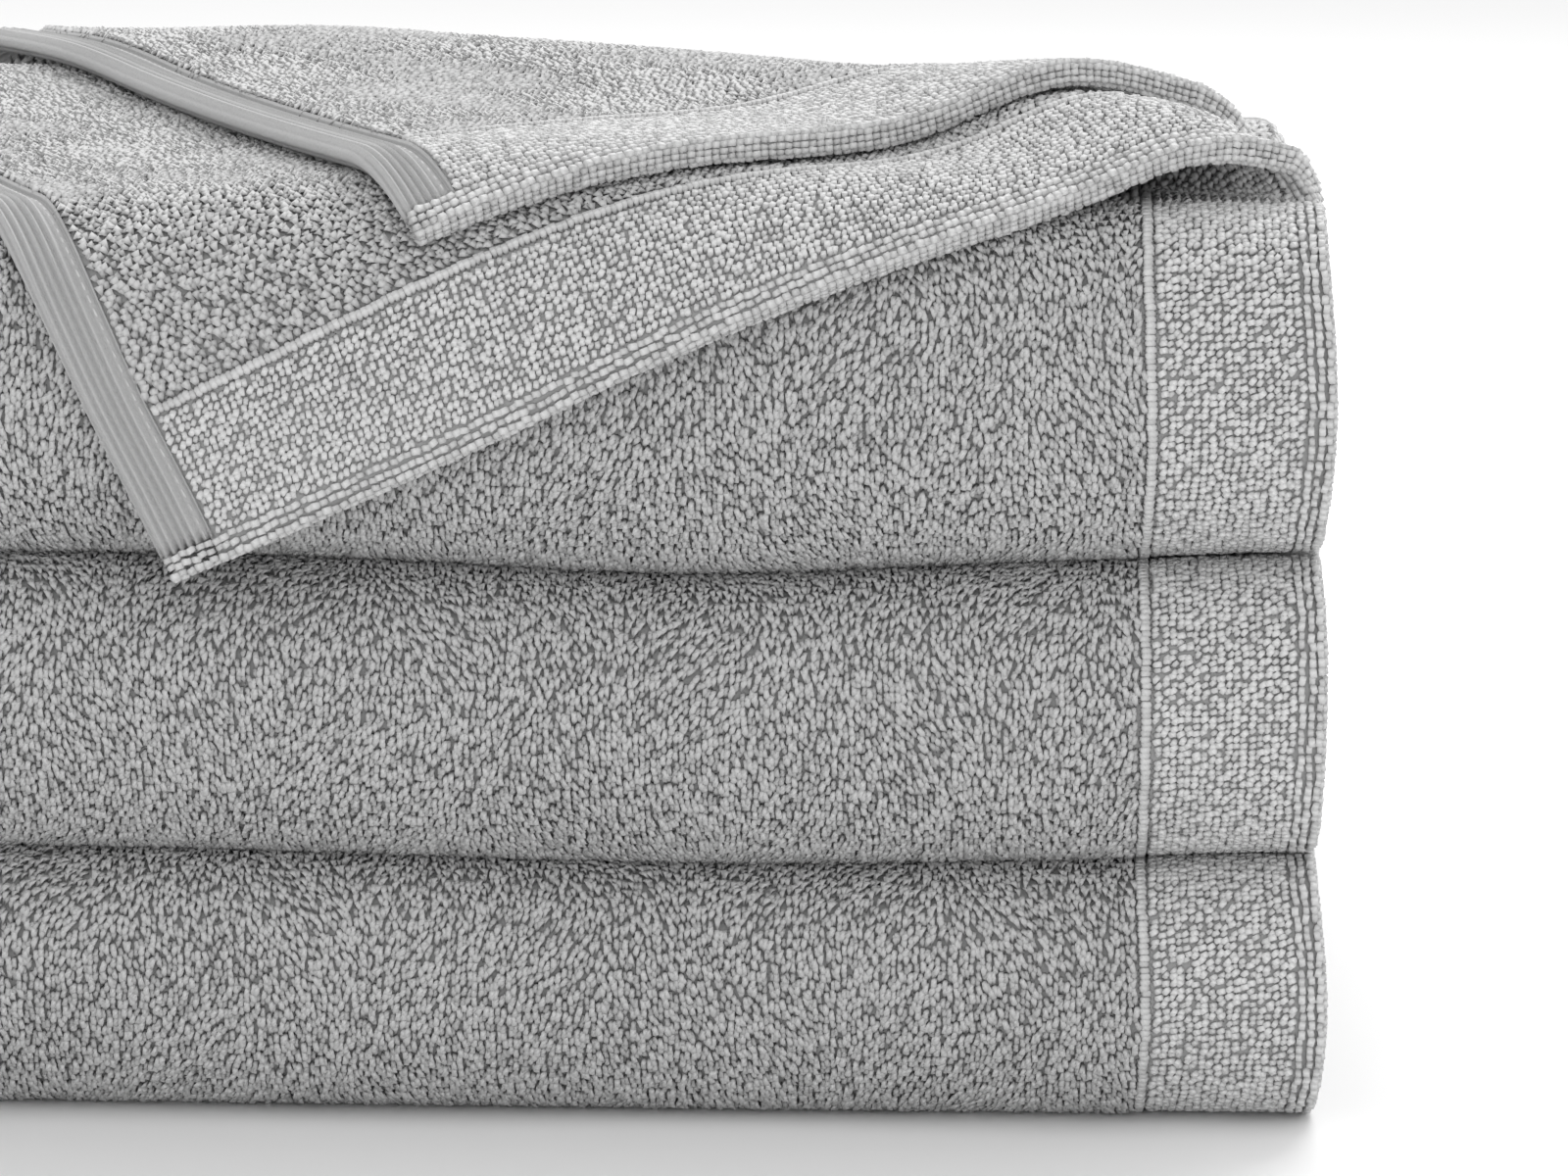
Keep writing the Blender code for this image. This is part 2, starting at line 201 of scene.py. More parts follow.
# %% The fold of one towel
class Towel:
    def __init__(self, name, base):
        self.name, self.base, self.height = name, base, FOLDED_HEIGHT[name]
        self.top, self.pitch = base + self.height, self.height / 12
        self.creases = {}
        self.fold_along()
        self.fold_across()

    def fold_along(self):
        p = self.pitch
        self.outer_end, self.inner_end = RIGHT_END, RIGHT_END - INNER_END_INSET[self.name]
        self.mid_fold = RIGHT_END - MID_FOLD_INSET
        ends = self.outer_end + self.inner_end + 2 * self.mid_fold
        self.left = (ends + 2.5 * math.pi * p - TOWEL_LENGTH) / 4
        inner = self.mid_fold - self.left
        lengths = [self.outer_end - self.left, 1.5 * math.pi * p, inner, 0.5 * math.pi * p, inner]
        lengths += [0.5 * math.pi * p, self.inner_end - self.left]
        self.u_marks = np.concatenate([[0.0], np.cumsum(lengths)])

    def fold_across(self):
        p = self.pitch
        angle = np.linspace(0, math.pi, TABLE_STEPS)
        power = 2 / FRONT_POWER
        rise = 4 * p * np.sign(np.cos(angle)) * np.abs(np.cos(angle)) ** power
        front = np.stack([-FRONT_DEPTH * p * np.sin(angle) ** power, rise], axis=1)
        back = 2 * p * np.stack([np.sin(angle), -np.cos(angle)], axis=1)
        top_extra = 4 * p - TOP_EDGE_INSET
        bends = arc_lengths(front)[-1] + 2 * math.pi * p
        run = (TOWEL_WIDTH - bends - top_extra + INNER_EDGE_INSET) / 3
        self.front_tangent = FRONT + (FRONT_DEPTH + 2) * p
        back_tangent, mid = self.front_tangent + run, self.base + self.height / 2
        start = np.array([[back_tangent + top_extra, mid + 4 * p]])
        end = np.array([[self.front_tangent + INNER_EDGE_INSET, self.base + 6 * p]])
        front, back = front + [self.front_tangent, mid], back + [back_tangent, self.base + 4 * p]
        self.path = np.concatenate([start, front, back, end])
        self.path_s = arc_lengths(self.path)
        slope = np.gradient(self.path, self.path_s, axis=0)
        slope[[0, 1, -1, -2]] = [-1, 0]
        slope[[TABLE_STEPS, TABLE_STEPS + 1]] = [1, 0]
        slope = unit(slope)
        self.out = np.stack([slope[:, 1], -slope[:, 0]], axis=1)
        n = TABLE_STEPS
        self.s_marks = self.path_s[[0, 1, n, n + 1, 2 * n, 2 * n + 1]]

    def add_crease(self, leaf, start, along, leaf_level, turned_level):
        self.creases[leaf] = Crease(start, along, leaf_level, turned_level)
        half = slice(1, 1 + TABLE_STEPS // 2)
        self.levels = np.linspace(-2, 3, 26) * self.pitch
        self.drapes = []
        for level in self.levels:
            curve = self.path[half] + self.out[half] * (2 * self.pitch + level)
            self.drapes.append((arc_lengths(curve), curve))

    def along(self, u):
        p = self.pitch
        _, a, b, c, d, e, f, _ = self.u_marks
        turns = [(u - a) / (1.5 * p), (u - c) / (0.5 * p), (u - e) / (0.5 * p)]
        parts = [u <= a, u <= b, u <= c, u <= d, u <= e, u <= f]
        x = np.select(parts, [
            self.outer_end - u, self.left - 1.5 * p * np.sin(turns[0]), self.left + u - b,
            self.mid_fold + 0.5 * p * np.sin(turns[1]), self.mid_fold - (u - d),
            self.left - 0.5 * p * np.sin(turns[2]),
        ], self.left + u - f)
        flat = np.ones_like(u)
        offset = np.select(parts, [
            1.5 * flat, 1.5 * np.cos(turns[0]), -1.5 * flat,
            -1 - 0.5 * np.cos(turns[1]), -0.5 * flat, -0.5 * np.cos(turns[2]),
        ], 0.5 * flat)
        return x, offset * p

    def across(self, s, offset):
        y, z = (np.interp(s, self.path_s, self.path[:, k]) for k in (0, 1))
        out = unit(np.stack([np.interp(s, self.path_s, self.out[:, k]) for k in (0, 1)], axis=1))
        return y + out[:, 0] * offset, z + out[:, 1] * offset

    def plan(self, leaf, u, s):
        y = self.front_tangent + self.s_marks[1] - s
        x = self.outer_end - u if leaf == "lower" else self.inner_end - (TOWEL_LENGTH - u)
        return np.stack([x, y], axis=1)

    def past(self, leaf, u, s):
        """How far past a leaf's crease a point of the flat cloth is; far below zero on the other leaves."""
        if leaf not in self.creases:
            return np.full(len(u), -1.0)
        mine = u < self.u_marks[1] if leaf == "lower" else u > self.u_marks[6]
        return np.where(mine, self.creases[leaf].past(self.plan(leaf, u, s)), -1.0)

    def over_top(self, plan, level):
        beyond = self.front_tangent - plan[:, 1]
        placed = np.stack([plan[:, 0], plan[:, 1], self.top + level], axis=1)
        step = self.levels[1] - self.levels[0]
        at = np.clip((level - self.levels[0]) / step, 0, len(self.levels) - 1.001)
        for k in np.unique(at[beyond > 0].astype(int)):
            here = (beyond > 0) & (at.astype(int) == k)
            sides = []
            for length, curve in self.drapes[k:k + 2]:
                y, z = (np.interp(beyond[here], length, curve[:, i]) for i in (0, 1))
                sides.append(np.stack([y, z - np.maximum(0, beyond[here] - length[-1])], axis=1))
            share = (at[here] - k)[:, None]
            placed[here, 1:] = sides[0] * (1 - share) + sides[1] * share
        return placed

    def place(self, u, s):
        """Where the middle of the cloth lies before it settles, and how far over its corner has turned."""
        x, offset = self.along(u)
        placed = np.stack([x, *self.across(s, offset)], axis=1)
        turned = np.zeros(len(u))
        for leaf, crease in self.creases.items():
            far = self.past(leaf, u, s) > 0
            if far.any():
                flat = self.plan(leaf, u, s)[far]
                plan, level, turned[far] = crease.turned(flat)
                plan[:, 0] += crease.askew * np.maximum(crease.past(flat) - crease.round, 0)
                placed[far] = self.over_top(plan, level)
        return placed, turned


towels, base = {}, -LEAF_GAP / 2
for name, height in FOLDED_HEIGHT.items():
    towels[name] = Towel(name, base)
    base += height + TOWEL_GAP - LEAF_GAP
top = towels["top"]
crease_start = np.array((top.outer_end, top.front_tangent))
crease_way = np.array((top.left + CREASE_END_INSET, top.path[0][0])) - crease_start
crease_way /= np.linalg.norm(crease_way)
lower_level = 0.5 * top.pitch + CREASE_CLEARANCE
top.add_crease("lower", crease_start, crease_way, -0.5 * top.pitch, lower_level)
behind = (top.inner_end, top.front_tangent + UPPER_CREASE_START)
top.add_crease("upper", behind, crease_way, -1.5 * top.pitch, lower_level + top.pitch + CREASE_CLEARANCE)
top.creases["lower"].askew, top.creases["upper"].askew = LIE_ASKEW
for towel in towels.values():
    print(f"{towel.name}: leaf {towel.pitch / MM:.2f} mm, top at {towel.top / MM:.1f} mm")

# %% [markdown]
# ## How soft cloth settles
# A rule alone gives a stack that looks machined. Real towels sag a few millimetres where nothing holds them,
# their ends swell between the pinched seams, and a turned corner stands up in an arch where it leaves its
# crease. One smooth push of space does all of this: every piece goes through it, so layers stay in order.

# %% Settle the stack
SEAM_HEIGHTS = np.array([0.0, towels["middle"].base, top.base, top.top, 0.2])
END_SWELL, FRONT_SWELL = 1.5 * MM, 1.1 * MM
# Each arch: its height, where it is highest, how far behind the crease, its width, and the share that goes on
ARCHES = {"lower": (7.0 * MM, 0.036, 0.008, 0.018, 0.0), "upper": (6.0 * MM, 0.032, 0.010, 0.022, 0.55)}
ARCH_START, ARCH_END, ARCH_FADE = 0.004, 0.33, 0.12
FRONT_SAG, BACK_RISE, HEM_DRAWN = 6.0 * MM, 4.0 * MM, 3.8 * MM
# Each seam between towels: its dip in mm, where and how wide; its rise at the right end, and over what length;
# its ripple from front to back, how close and where it starts
SEAM_WAVES = [(1.9, 0.070, 0.070, 0.8, 0.040, 0.5, 31, 1), (3.4, 0.067, 0.047, 1.2, 0.045, 0.6, 27, 0)]
RIGHT_RISE_START = 0.13
# Slopes and humps, each from where and over what length: along X, Y or Z as the name says
SAG_X, SAG_Y = (0.06, -0.13), (0.05, -0.15)
RISE_Y, RISE_X, RISE_FADE_X = (0.02, 0.08), (0.14, -0.05), (0.03, -0.08)
END_FROM, END_LENGTH, FRONT_Y, BACK_Y = 0.115, 0.06, (-0.06, -0.05), (0.07, 0.05)
HEM_X, HEM_Z = (0.088, 0.062), (0.160, -0.034)


def hump(x, centre, width):
    return np.exp(-((x - centre) / width) ** 2)


def slope(x, start, length):
    """0 up to start, 1 from start + length on, and smooth between; a negative length rises the other way."""
    return smooth((x - start) / length)


def arch(points):
    """How high a turned corner stands over its crease: highest a little way in from the right end."""
    rise = np.zeros(len(points))
    for leaf, (height, peak, behind, width, lasting) in ARCHES.items():
        crease = top.creases[leaf]
        from_start = points[:, :2] - crease.start
        way = from_start @ crease.way + ARCH_START
        t = np.maximum(way, 0) / peak
        shape = np.maximum(t * np.exp(1 - t), lasting * smooth(t / 2) * slope(way, ARCH_END, -ARCH_FADE))
        rise = rise + height * shape * hump(from_start @ crease.beyond, -behind, width)
    return rise


def settle(points, turned):
    x, y, z = points.T
    over = (0.9 * np.sin(x * 26 + 0.6) * np.cos(y * 19) - 0.5) * MM
    over -= FRONT_SAG * slope(x, *SAG_X) * slope(y, *SAG_Y)
    over += BACK_RISE * slope(y, *RISE_Y) * (slope(x, *RISE_X) - 1.5 * slope(x, *RISE_FADE_X))
    waves = [np.zeros_like(x)]
    for dip, centre, width, rise, length, ripple, close, phase in SEAM_WAVES:
        waves.append((-dip * hump(x, centre, width) + rise * slope(x, RIGHT_RISE_START, length)
                      + ripple * np.sin(y * close + phase)) * MM)
    waves = np.array(waves + [over, over])
    band = np.clip(np.searchsorted(SEAM_HEIGHTS, z) - 1, 0, 3)
    low, high = SEAM_HEIGHTS[band], SEAM_HEIGHTS[band + 1]
    share = np.clip((z - low) / (high - low), 0, 1)
    every = np.arange(len(x))
    dz = waves[band, every] * (1 - share) + waves[band + 1, every] * share
    swell = np.sin(np.pi * share) * (band < 3)
    ends = slope(x, END_FROM, END_LENGTH) - slope(x, -END_FROM, -END_LENGTH)
    uneven = 0.55 * np.sin(x * 37 + z * 90) + 0.45 * np.sin(x * 71 - z * 140 + 2)
    front, back = slope(y, *FRONT_Y), slope(y, *BACK_Y)
    dx = END_SWELL * swell * ends * (1 + 0.35 * np.sin(y * 45 + z * 60))
    dy = (back - front) * FRONT_SWELL * swell * uneven
    lift = turned * (arch(points) + HEM_DRAWN * hump(x, *HEM_X) * slope(z, *HEM_Z))
    return np.stack([x + dx, y + dy - 0.25 * lift * front, z + dz + lift], axis=1)


def middle(towel, u, s):
    """The middle of the cloth at each (u, s), settled."""
    return settle(*towel.place(u, s))


def lay(towel, u, s, height):
    """Points this high over the middle of the cloth, the way out of the cloth, and its ways along u and s."""
    step = 0.05 * MM
    at = middle(towel, u, s)
    along_u = unit(middle(towel, u + step, s) - middle(towel, u - step, s))
    along_s = unit(middle(towel, u, s + step) - middle(towel, u, s - step))
    out = unit(np.cross(along_u, along_s))
    return at + out * np.asarray(height).reshape(-1, 1), out, along_u, along_s


# %% [markdown]
# ## Yarn and cloth finishes
# Terry is undyed-looking grey cotton: matt, with a soft sheen where fibres stand off the yarn, and no two
# loops quite the same shade. Each loop carries its own shade as an attribute, and a slow noise on the
# object's own coordinates adds the washed unevenness. Loops get painted shade towards the root, where little
# light gets, and a little towards the far end, where they come back down to the cloth.
# Bump is left for what is finer than a loop: the twist of the yarn and its fibres.

# %% Finishes
YARN_ROUGHNESS, SHEEN_ROUGHNESS, YARN_SPECULAR = 0.93, 0.45, 0.25
# The middle value is the painted shade at a loop's far end, where it comes back down to the cloth
NOISE_SHARE, TIP_PAINTED_SHADE, BUMP_STRENGTH = 0.4, 0.72, 0.6


def new_node(tree, kind, inputs=None, **settings):
    """Adds a node. Its inputs, by name or number, each get a value or the output that they are joined to."""
    node = tree.nodes.new(kind)
    for key, value in settings.items():
        setattr(node, key, value)
    for key, value in (inputs or {}).items():
        socket = next(i for k, i in enumerate(node.inputs) if k == key or (i.enabled and i.name == key))
        if isinstance(value, bpy.types.NodeSocket):
            tree.links.new(value, socket)
        else:
            socket.default_value = value
    return node


def add_ramp(tree, factor, stops):
    ramp = new_node(tree, "ShaderNodeValToRGB", {"Fac": factor})
    for k, (position, shade) in enumerate(stops):
        element = ramp.color_ramp.elements[k] if k < 2 else ramp.color_ramp.elements.new(position)
        element.position, element.color = position, (shade, shade, shade, 1)
    return ramp.outputs["Color"]


def yarn_material(name, colour, spread, sheen, bump_scale, bump_height, root_painted_shade=None):
    """A cotton finish: its colour, how far loops differ, its sheen and fibres, and for loops the painted shade at
    the root.
    """
    material = plain_material(name, colour, YARN_ROUGHNESS)
    tree = material.node_tree
    shader = tree.nodes["Principled BSDF"]
    shader.inputs["Sheen Weight"].default_value = sheen
    shader.inputs["Sheen Roughness"].default_value = SHEEN_ROUGHNESS
    shader.inputs["Specular IOR Level"].default_value = YARN_SPECULAR
    place = new_node(tree, "ShaderNodeTexCoord").outputs["Object"]
    slow = new_node(tree, "ShaderNodeTexNoise", {"Vector": place, "Scale": 26, "Detail": 3})
    own = new_node(tree, "ShaderNodeAttribute", attribute_name="yarn_shade")
    both = new_node(tree, "ShaderNodeMath", {0: slow.outputs["Fac"], 1: NOISE_SHARE, 2: own.outputs["Fac"]},
                    operation="MULTIPLY_ADD")
    base = add_ramp(tree, both.outputs[0], [(0.1, colour * (1 - spread)), (1.0, min(1, colour * (1 + spread)))])
    height = new_node(tree, "ShaderNodeTexNoise", {"Vector": place, "Scale": bump_scale, "Detail": 4}).outputs["Fac"]
    # Loops get painted shade along the strand: dark at the root, and a little darker at the far end on the cloth
    if root_painted_shade:
        strand = new_node(tree, "ShaderNodeUVMap", uv_map="strand").outputs["UV"]
        split = new_node(tree, "ShaderNodeSeparateXYZ", {0: strand})
        root = add_ramp(tree, split.outputs["Y"], [(0.05, root_painted_shade), (0.42, 1), (1.0, TIP_PAINTED_SHADE)])
        base = new_node(tree, "ShaderNodeMix", {"Factor": 1, 6: base, 7: root}, data_type="RGBA",
                        blend_type="MULTIPLY").outputs[2]
        ply = new_node(tree, "ShaderNodeTexWave", {"Vector": strand, "Scale": 1.6, "Distortion": 1.0},
                       bands_direction="DIAGONAL")
        height = new_node(tree, "ShaderNodeMath", {0: ply.outputs["Fac"], 1: height}, operation="ADD").outputs[0]
    bump = new_node(tree, "ShaderNodeBump", {"Distance": bump_height, "Strength": BUMP_STRENGTH, "Height": height})
    tree.links.new(base, shader.inputs["Base Color"])
    tree.links.new(bump.outputs["Normal"], shader.inputs["Normal"])
    return material


# Each finish: its colour, spread, sheen, the scale and height of its fibres, and for loops the painted shade at the
# root
FINISHES = {
    "long_pile": yarn_material("long_pile_yarn", 0.54, 0.18, 0.12, 2600, 0.12 * MM, 0.50),
    "short_pile": yarn_material("short_pile_yarn", 0.645, 0.12, 0.12, 2600, 0.12 * MM, 0.62),
    "ridge_pile": yarn_material("ridge_yarn", 0.60, 0.10, 0.12, 2600, 0.10 * MM, 0.85),
    "hem_pile": yarn_material("hem_loop_yarn", 0.62, 0.12, 0.12, 2600, 0.12 * MM, 0.62),
    "hem_weave": yarn_material("hem_weave_yarn", 0.51, 0.14, 0.1, 1900, 0.45 * MM),
    # The ground cloth is real, but its darker grey is painted shade for the deep gaps between the loops
    "ground": yarn_material("ground_weave_yarn", 0.40, 0.18, 0.1, 1100, 0.35 * MM),
    "thread": yarn_material("sewing_thread", 0.60, 0.06, 0.1, 3200, 0.05 * MM, 0.85),
}
print("finishes:", ", ".join(FINISHES))

# %% [markdown]
# ## The ground cloth
# Under the loops is a woven ground. It is built flat, as a thin closed slab in (u, s, height), trimmed along
# the creases while it is flat, and then moved to its folded place. The slab is a little thinner than a leaf,
# because its loops fill the rest.

# %% Build flat, trim flat, then fold
SLAB_SHARE = 0.66
SLAB_INSET, HEM_LAP = 0.8 * MM, 0.5 * MM
CORNER_TAILS = {"roll": "_roll", "flap": ""}
ROLL_RINGS = 10
pieces = {}


def spaced(start, end, step):
    return np.linspace(start, end, max(1, int(math.ceil((end - start) / step - 1e-6))) + 1)


def fold_lines(marks, straight, bends):
    """Lines between fold marks: far apart on the straight runs, and close together in the bends."""
    lines = [np.array([marks[0]])]
    for k in range(len(marks) - 1):
        bend = k in bends
        lines.append(np.linspace(marks[k], marks[k + 1], bends[k] + 1)[1:] if bend
                     else spaced(marks[k], marks[k + 1], straight)[1:])
    return np.concatenate(lines)


def within(lines, low, high):
    inside = lines[(lines > low + 0.3 * MM) & (lines < high - 0.3 * MM)]
    return np.concatenate([[low], inside, [high]])


def flat_slab(u_lines, s_lines, section):
    """A closed flat mesh. section gives, for each s line, its height above and below the middle."""
    bm, nu, ns = bmesh.new(), len(u_lines), len(s_lines)
    up, down = ([[bm.verts.new((u, s, height)) for s, height in zip(s_lines, heights)] for u in u_lines]
                for heights in section)
    for i in range(nu - 1):
        for j in range(ns - 1):
            bm.faces.new((up[i][j], up[i + 1][j], up[i + 1][j + 1], up[i][j + 1]))
            bm.faces.new((down[i][j], down[i][j + 1], down[i + 1][j + 1], down[i + 1][j]))
    for i in range(nu - 1):
        bm.faces.new((up[i][0], down[i][0], down[i + 1][0], up[i + 1][0]))
        bm.faces.new((up[i][-1], up[i + 1][-1], down[i + 1][-1], down[i][-1]))
    for j in range(ns - 1):
        bm.faces.new((up[0][j], up[0][j + 1], down[0][j + 1], down[0][j]))
        bm.faces.new((up[-1][j], down[-1][j], down[-1][j + 1], up[-1][j + 1]))
    return bm


def crease_line(towel, leaf, past):
    """The line of the flat cloth this far past a crease, as a point and the way to its corner."""
    crease = towel.creases[leaf]
    spot = crease.start + crease.beyond * past
    s = towel.front_tangent + towel.s_marks[1] - spot[1]
    if leaf == "lower":
        return (towel.outer_end - spot[0], s, 0), (-crease.beyond[0], -crease.beyond[1], 0)
    return (TOWEL_LENGTH - (towel.inner_end - spot[0]), s, 0), (crease.beyond[0], -crease.beyond[1], 0)


def cut_along(bm, point, way, **clear):
    geometry = bm.verts[:] + bm.edges[:] + bm.faces[:]
    return bmesh.ops.bisect_plane(bm, geom=geometry, plane_co=point, plane_no=way, dist=1e-7, **clear)


def trim(bm, towel, leaf, past, keep):
    """Cuts the flat mesh along a crease line, drops one side and closes the cut."""
    cut = cut_along(bm, *crease_line(towel, leaf, past), clear_outer=keep == "before", clear_inner=keep == "after")
    rim = [e for e in cut["geom_cut"] if isinstance(e, bmesh.types.BMEdge) and e.is_boundary]
    if rim:
        bmesh.ops.holes_fill(bm, edges=rim, sides=0)


def corner_slab(towel, leaf, part, u, s, section):
    """The flat mesh of a corner's roll, between its two crease lines, or of the flap past them."""
    bm, crease = flat_slab(u, s, section), towel.creases[leaf]
    if part == "flap":
        trim(bm, towel, leaf, crease.round, "after")
        return bm
    trim(bm, towel, leaf, 0, "after")
    trim(bm, towel, leaf, crease.round, "before")
    return bm


def leaf_reach(towel, leaf):
    return towel.u_marks[1] if leaf == "lower" else TOWEL_LENGTH - towel.u_marks[6]


def fold_mesh(name, towel, bm, finish):
    """Moves a flat mesh to its folded place and makes an object of it."""
    flat = np.array([v.co for v in bm.verts])
    placed = lay(towel, flat[:, 0], flat[:, 1], flat[:, 2])[0]
    bmesh.ops.triangulate(bm, faces=[f for f in bm.faces if len(f.verts) > 4])
    mesh = bpy.data.meshes.new(name)
    bm.to_mesh(mesh)
    bm.free()
    mesh.vertices.foreach_set("co", placed.ravel())
    mesh.materials.append(FINISHES[finish])
    mesh.shade_smooth()
    mesh.update()
    pieces[name] = add_object(name, mesh)


def cloth_lines(towel):
    u = fold_lines(towel.u_marks, 12 * MM, {1: 9, 3: 7, 5: 5})
    s = fold_lines(towel.s_marks, 14 * MM, {1: 14, 3: 10})
    return u, s


def build_ground(towel):
    """The ground cloth of a towel; a turned corner is a roll over its crease and a flap beyond it."""
    half = towel.pitch * SLAB_SHARE / 2
    u, s = cloth_lines(towel)
    s = within(s, SIDE_HEM - HEM_LAP, TOWEL_WIDTH - SIDE_HEM + HEM_LAP)
    u = within(u, SLAB_INSET, TOWEL_LENGTH - SLAB_INSET)
    bm = flat_slab(u, s, (np.full(len(s), half), np.full(len(s), -half)))
    for leaf in towel.creases:
        trim(bm, towel, leaf, 0, "before")
    fold_mesh(f"{towel.name}_cloth", towel, bm, "ground")
    for leaf, crease in towel.creases.items():
        ends = from_end("outer" if leaf == "lower" else "inner", SLAB_INSET, leaf_reach(towel, leaf))
        for part, step in (("roll", 3.5 * MM), ("flap", 4 * MM)):
            u, s = spaced(*ends, step), spaced(SIDE_HEM - HEM_LAP, towel.s_marks[1], step)
            bm = corner_slab(towel, leaf, part, u, s, (np.full(len(s), half), np.full(len(s), -half)))
            if part == "roll":
                for k in range(1, ROLL_RINGS):
                    cut_along(bm, *crease_line(towel, leaf, crease.round * k / ROLL_RINGS))
            fold_mesh(f"{leaf}_corner_{part}", towel, bm, "ground")


def from_end(end, near, far):
    """The range of u that lies this far from an end."""
    return (near, far) if end == "outer" else (TOWEL_LENGTH - far, TOWEL_LENGTH - near)


for towel in towels.values():
    build_ground(towel)
print("ground cloths:", {name: len(piece.data.polygons) for name, piece in pieces.items()})

# %% [markdown]
# ## Side hems
# Along both long edges the cloth is turned in and sewn down, and there it has no pile: a flat woven band
# 1 cm wide with fine ribs along it. The ribs are modelled, since the turned corners show them at an angle.

# %% Side hems with woven ribs
RIBS, RIB_HEIGHT, HEM_THICK = 7, 0.42, 0.30
ROUNDED_SHARE, STITCH_AT = 0.10, 0.86


def hem_section(thick, edge_at, inside_at, shown):
    """s positions across a side hem and the heights of its two faces: ribs, and a rounded outer edge."""
    share = np.linspace(0, 1, RIBS * 4 + 3 if shown else 5)
    ribs = 1 + (RIB_HEIGHT * np.cos(share * RIBS * 2 * math.pi) if shown else 0)
    rounded = np.sqrt(np.clip(1 - (1 - np.clip(share / ROUNDED_SHARE, 0, 1)) ** 2, 0.03, 1))
    seam = 1 - 0.45 * hump(share, STITCH_AT, 0.03)
    height = thick * ribs * rounded * seam
    s = edge_at + (inside_at - edge_at) * share
    return (s, height) if inside_at > edge_at else (s[::-1], height[::-1])


def build_side_hem(towel, edge):
    ends = (0, SIDE_HEM) if edge == "top" else (TOWEL_WIDTH, TOWEL_WIDTH - SIDE_HEM)
    s, height = hem_section(towel.pitch * HEM_THICK, *ends, edge == "top")
    u = within(cloth_lines(towel)[0], END_HEM, TOWEL_LENGTH - END_HEM)
    bm = flat_slab(u, s, (height, -height))
    turned = towel.creases if edge == "top" else ()
    for leaf in turned:
        trim(bm, towel, leaf, 0, "before")
    fold_mesh(f"{towel.name}_{edge}_side_hem", towel, bm, "hem_weave")
    for leaf in turned:
        u = spaced(END_HEM, leaf_reach(towel, leaf), 3 * MM)
        u = u if leaf == "lower" else (TOWEL_LENGTH - u)[::-1]
        for part, tail in CORNER_TAILS.items():
            bm = corner_slab(towel, leaf, part, u, s, (height, -height))
            fold_mesh(f"{leaf}_corner_side_hem{tail}", towel, bm, "hem_weave")


for towel in towels.values():
    for edge in ("top", "tucked"):
        build_side_hem(towel, edge)
print("side hems made:", sum("side_hem" in name for name in pieces))

# %% [markdown]
# ## Loops of yarn
# Terry is thousands of small loops of yarn standing on the ground cloth. Each is modelled once as a bent,
# closed strand, with few faces, and repeated. The front field has long loops that lie over, the border short
# upright ones in straight rows, pressed faces flat ones, and faces seen from afar simpler ones.

# %% One loop of each kind
def strand_mesh(name, rings, tips, sides):
    """A closed strand along X: rings (x, z, half width, half height), with a point at each end."""
    points, uvs = [(tips[0][0], 0, tips[0][1])], []
    turn = math.pi / sides
    for x, z, width, height in rings:
        for k in range(sides):
            a = 2 * math.pi * k / sides + turn
            points.append((x, width * math.sin(a), z + height * math.cos(a)))
    points.append((tips[1][0], 0, tips[1][1]))
    faces, last = [], len(points) - 1
    levels = np.linspace(0.2, 0.8, len(rings)) if len(rings) > 1 else [0.55]
    for k in range(sides):
        n = (k + 1) % sides
        faces.append((0, 1 + k, 1 + n))
        uvs += [((k + 0.5) / sides, 0), (k / sides, levels[0]), ((k + 1) / sides, levels[0])]
        for r in range(len(rings) - 1):
            a, b = 1 + r * sides, 1 + (r + 1) * sides
            faces.append((a + k, b + k, b + n, a + n))
            v0, v1 = levels[r], levels[r + 1]
            uvs += [(k / sides, v0), (k / sides, v1), ((k + 1) / sides, v1), ((k + 1) / sides, v0)]
        a = 1 + (len(rings) - 1) * sides
        faces.append((a + k, last, a + n))
        uvs += [(k / sides, levels[-1]), ((k + 0.5) / sides, 1), ((k + 1) / sides, levels[-1])]
    mesh = bpy.data.meshes.new(name)
    mesh.from_pydata([tuple(c * MM for c in p) for p in points], [], faces)
    layer = mesh.uv_layers.new(name="strand")
    layer.data.foreach_set("uv", np.array(uvs, float).ravel())
    mesh.shade_smooth()
    if signed_volume(mesh) < 0:
        mesh.flip_normals()
    made = add_object(name, mesh)
    made.hide_render = True
    return made


def signed_volume(mesh):
    mesh.calc_loop_triangles()
    co = np.array([v.co for v in mesh.vertices])
    tri = co[np.array([t.vertices for t in mesh.loop_triangles])]
    return float(np.einsum("ij,ij->i", tri[:, 0], np.cross(tri[:, 1], tri[:, 2])).sum() / 6)


# Each kind: its rings, its two tips (x, z) and its number of sides, in mm at size 1
LOOP_SHAPES = {
    "long": ([(-0.42, 0.35, 0.40, 0.42), (0.60, 0.78, 0.44, 0.42)], [(-0.62, -0.60), (1.62, 0.10)], 3),
    "short": ([(-0.38, 0.20, 0.48, 0.44), (0.40, 0.20, 0.48, 0.44)], [(-0.85, -0.35), (0.88, -0.38)], 4),
    "far": ([(0.10, 0.52, 0.66, 0.54)], [(-0.98, -0.45), (1.48, -0.02)], 3),
    "pressed": ([(0.05, 0.05, 1.15, 0.48)], [(-1.9, -0.25), (2.0, -0.25)], 3),
    "stitch": ([(-0.7, 0.12, 0.24, 0.2), (0.7, 0.12, 0.24, 0.2)], [(-1.1, -0.1), (1.1, -0.1)], 4),
}
LOOPS = {kind: strand_mesh(f"{kind}_loop", *shape) for kind, shape in LOOP_SHAPES.items()}
for loop in LOOPS.values():
    loop.data.calc_loop_triangles()
print("triangles a loop:", {kind: len(loop.data.loop_triangles) for kind, loop in LOOPS.items()})

